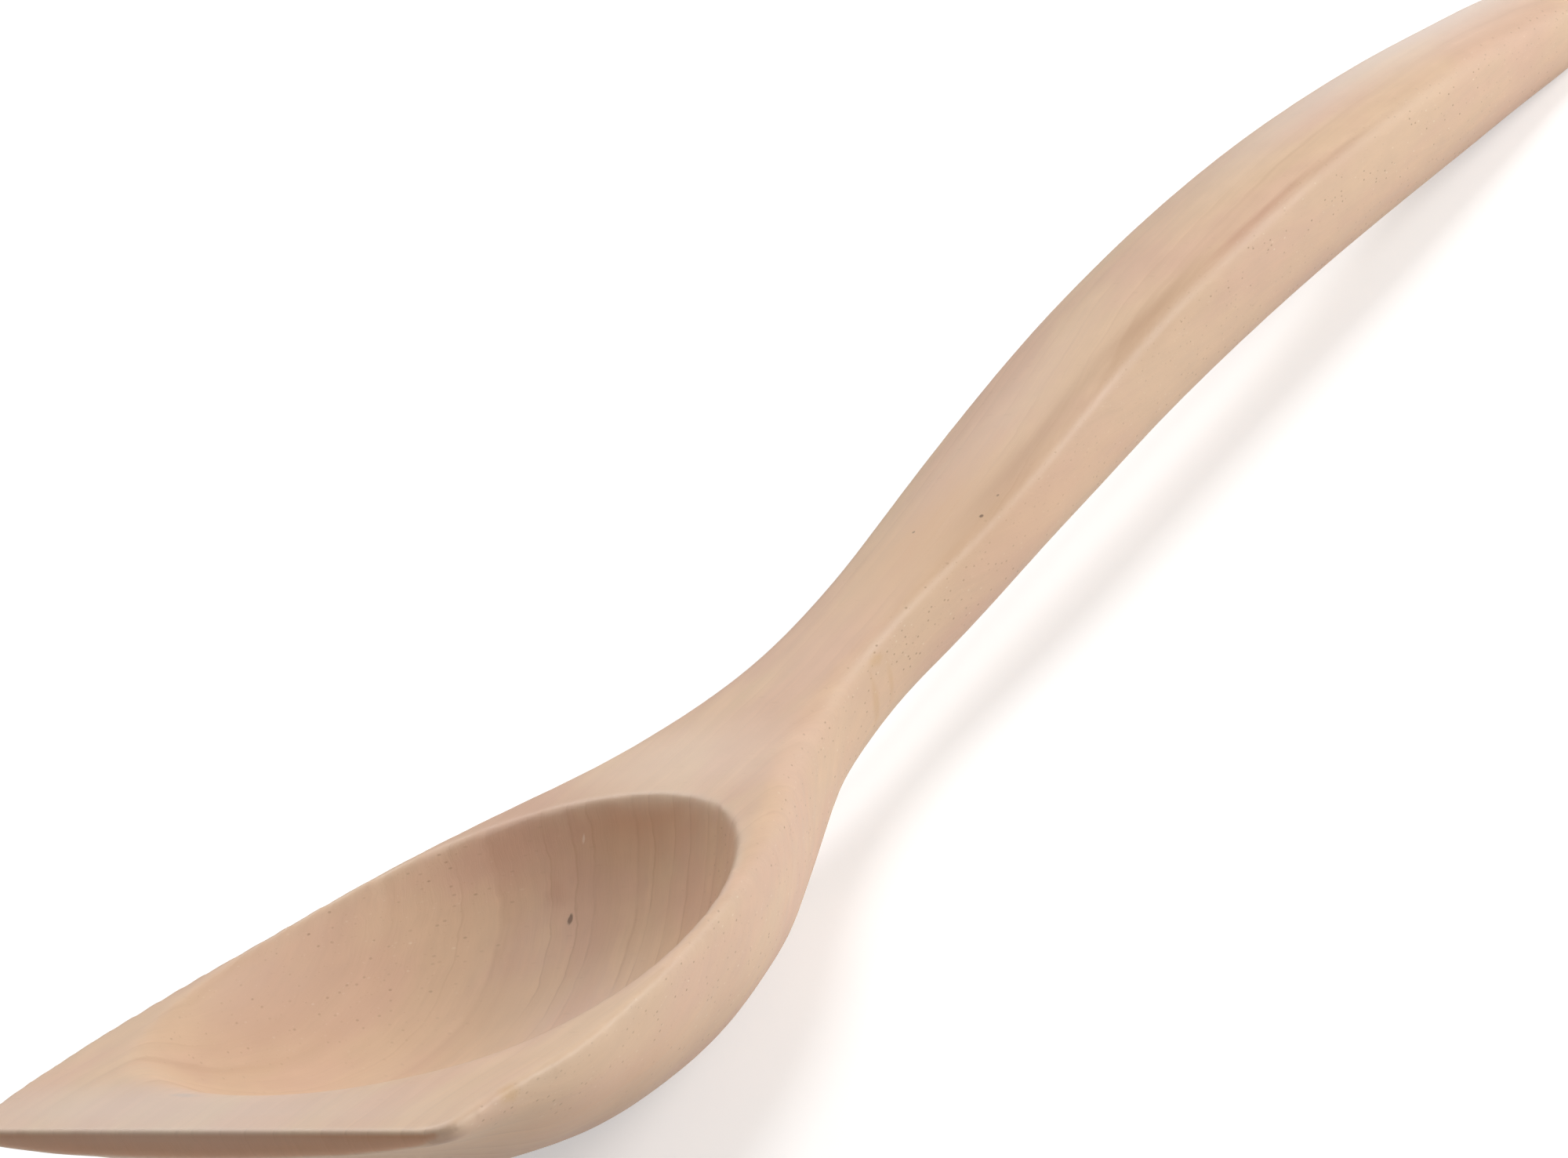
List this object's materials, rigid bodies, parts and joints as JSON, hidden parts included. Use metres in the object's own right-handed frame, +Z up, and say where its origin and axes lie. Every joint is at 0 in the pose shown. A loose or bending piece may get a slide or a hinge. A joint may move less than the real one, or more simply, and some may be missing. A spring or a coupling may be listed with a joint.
{
  "type": "wooden spoon",
  "caption": "Long carved wooden cooking spoon with a straight front edge, a deep egg-shaped hollow and a gently arched handle.",
  "frame": {"origin": "centre of the underside of the bounding box, on the surface that the spoon lies on, below the start of the handle", "axes": "+X along the spoon towards the end of the handle, +Y across it, +Z up, away from the surface and out of the hollow"},
  "size_m": [0.3062, 0.0658, 0.0316],
  "materials": {
    "bowl_wood": "satin",
    "neck_wood": "satin",
    "handle_wood": "satin"
  },
  "bodies": {
    "root": {"bowl": "bowl_wood", "neck": "neck_wood", "handle": "handle_wood"}
  },
  "joints": []
}
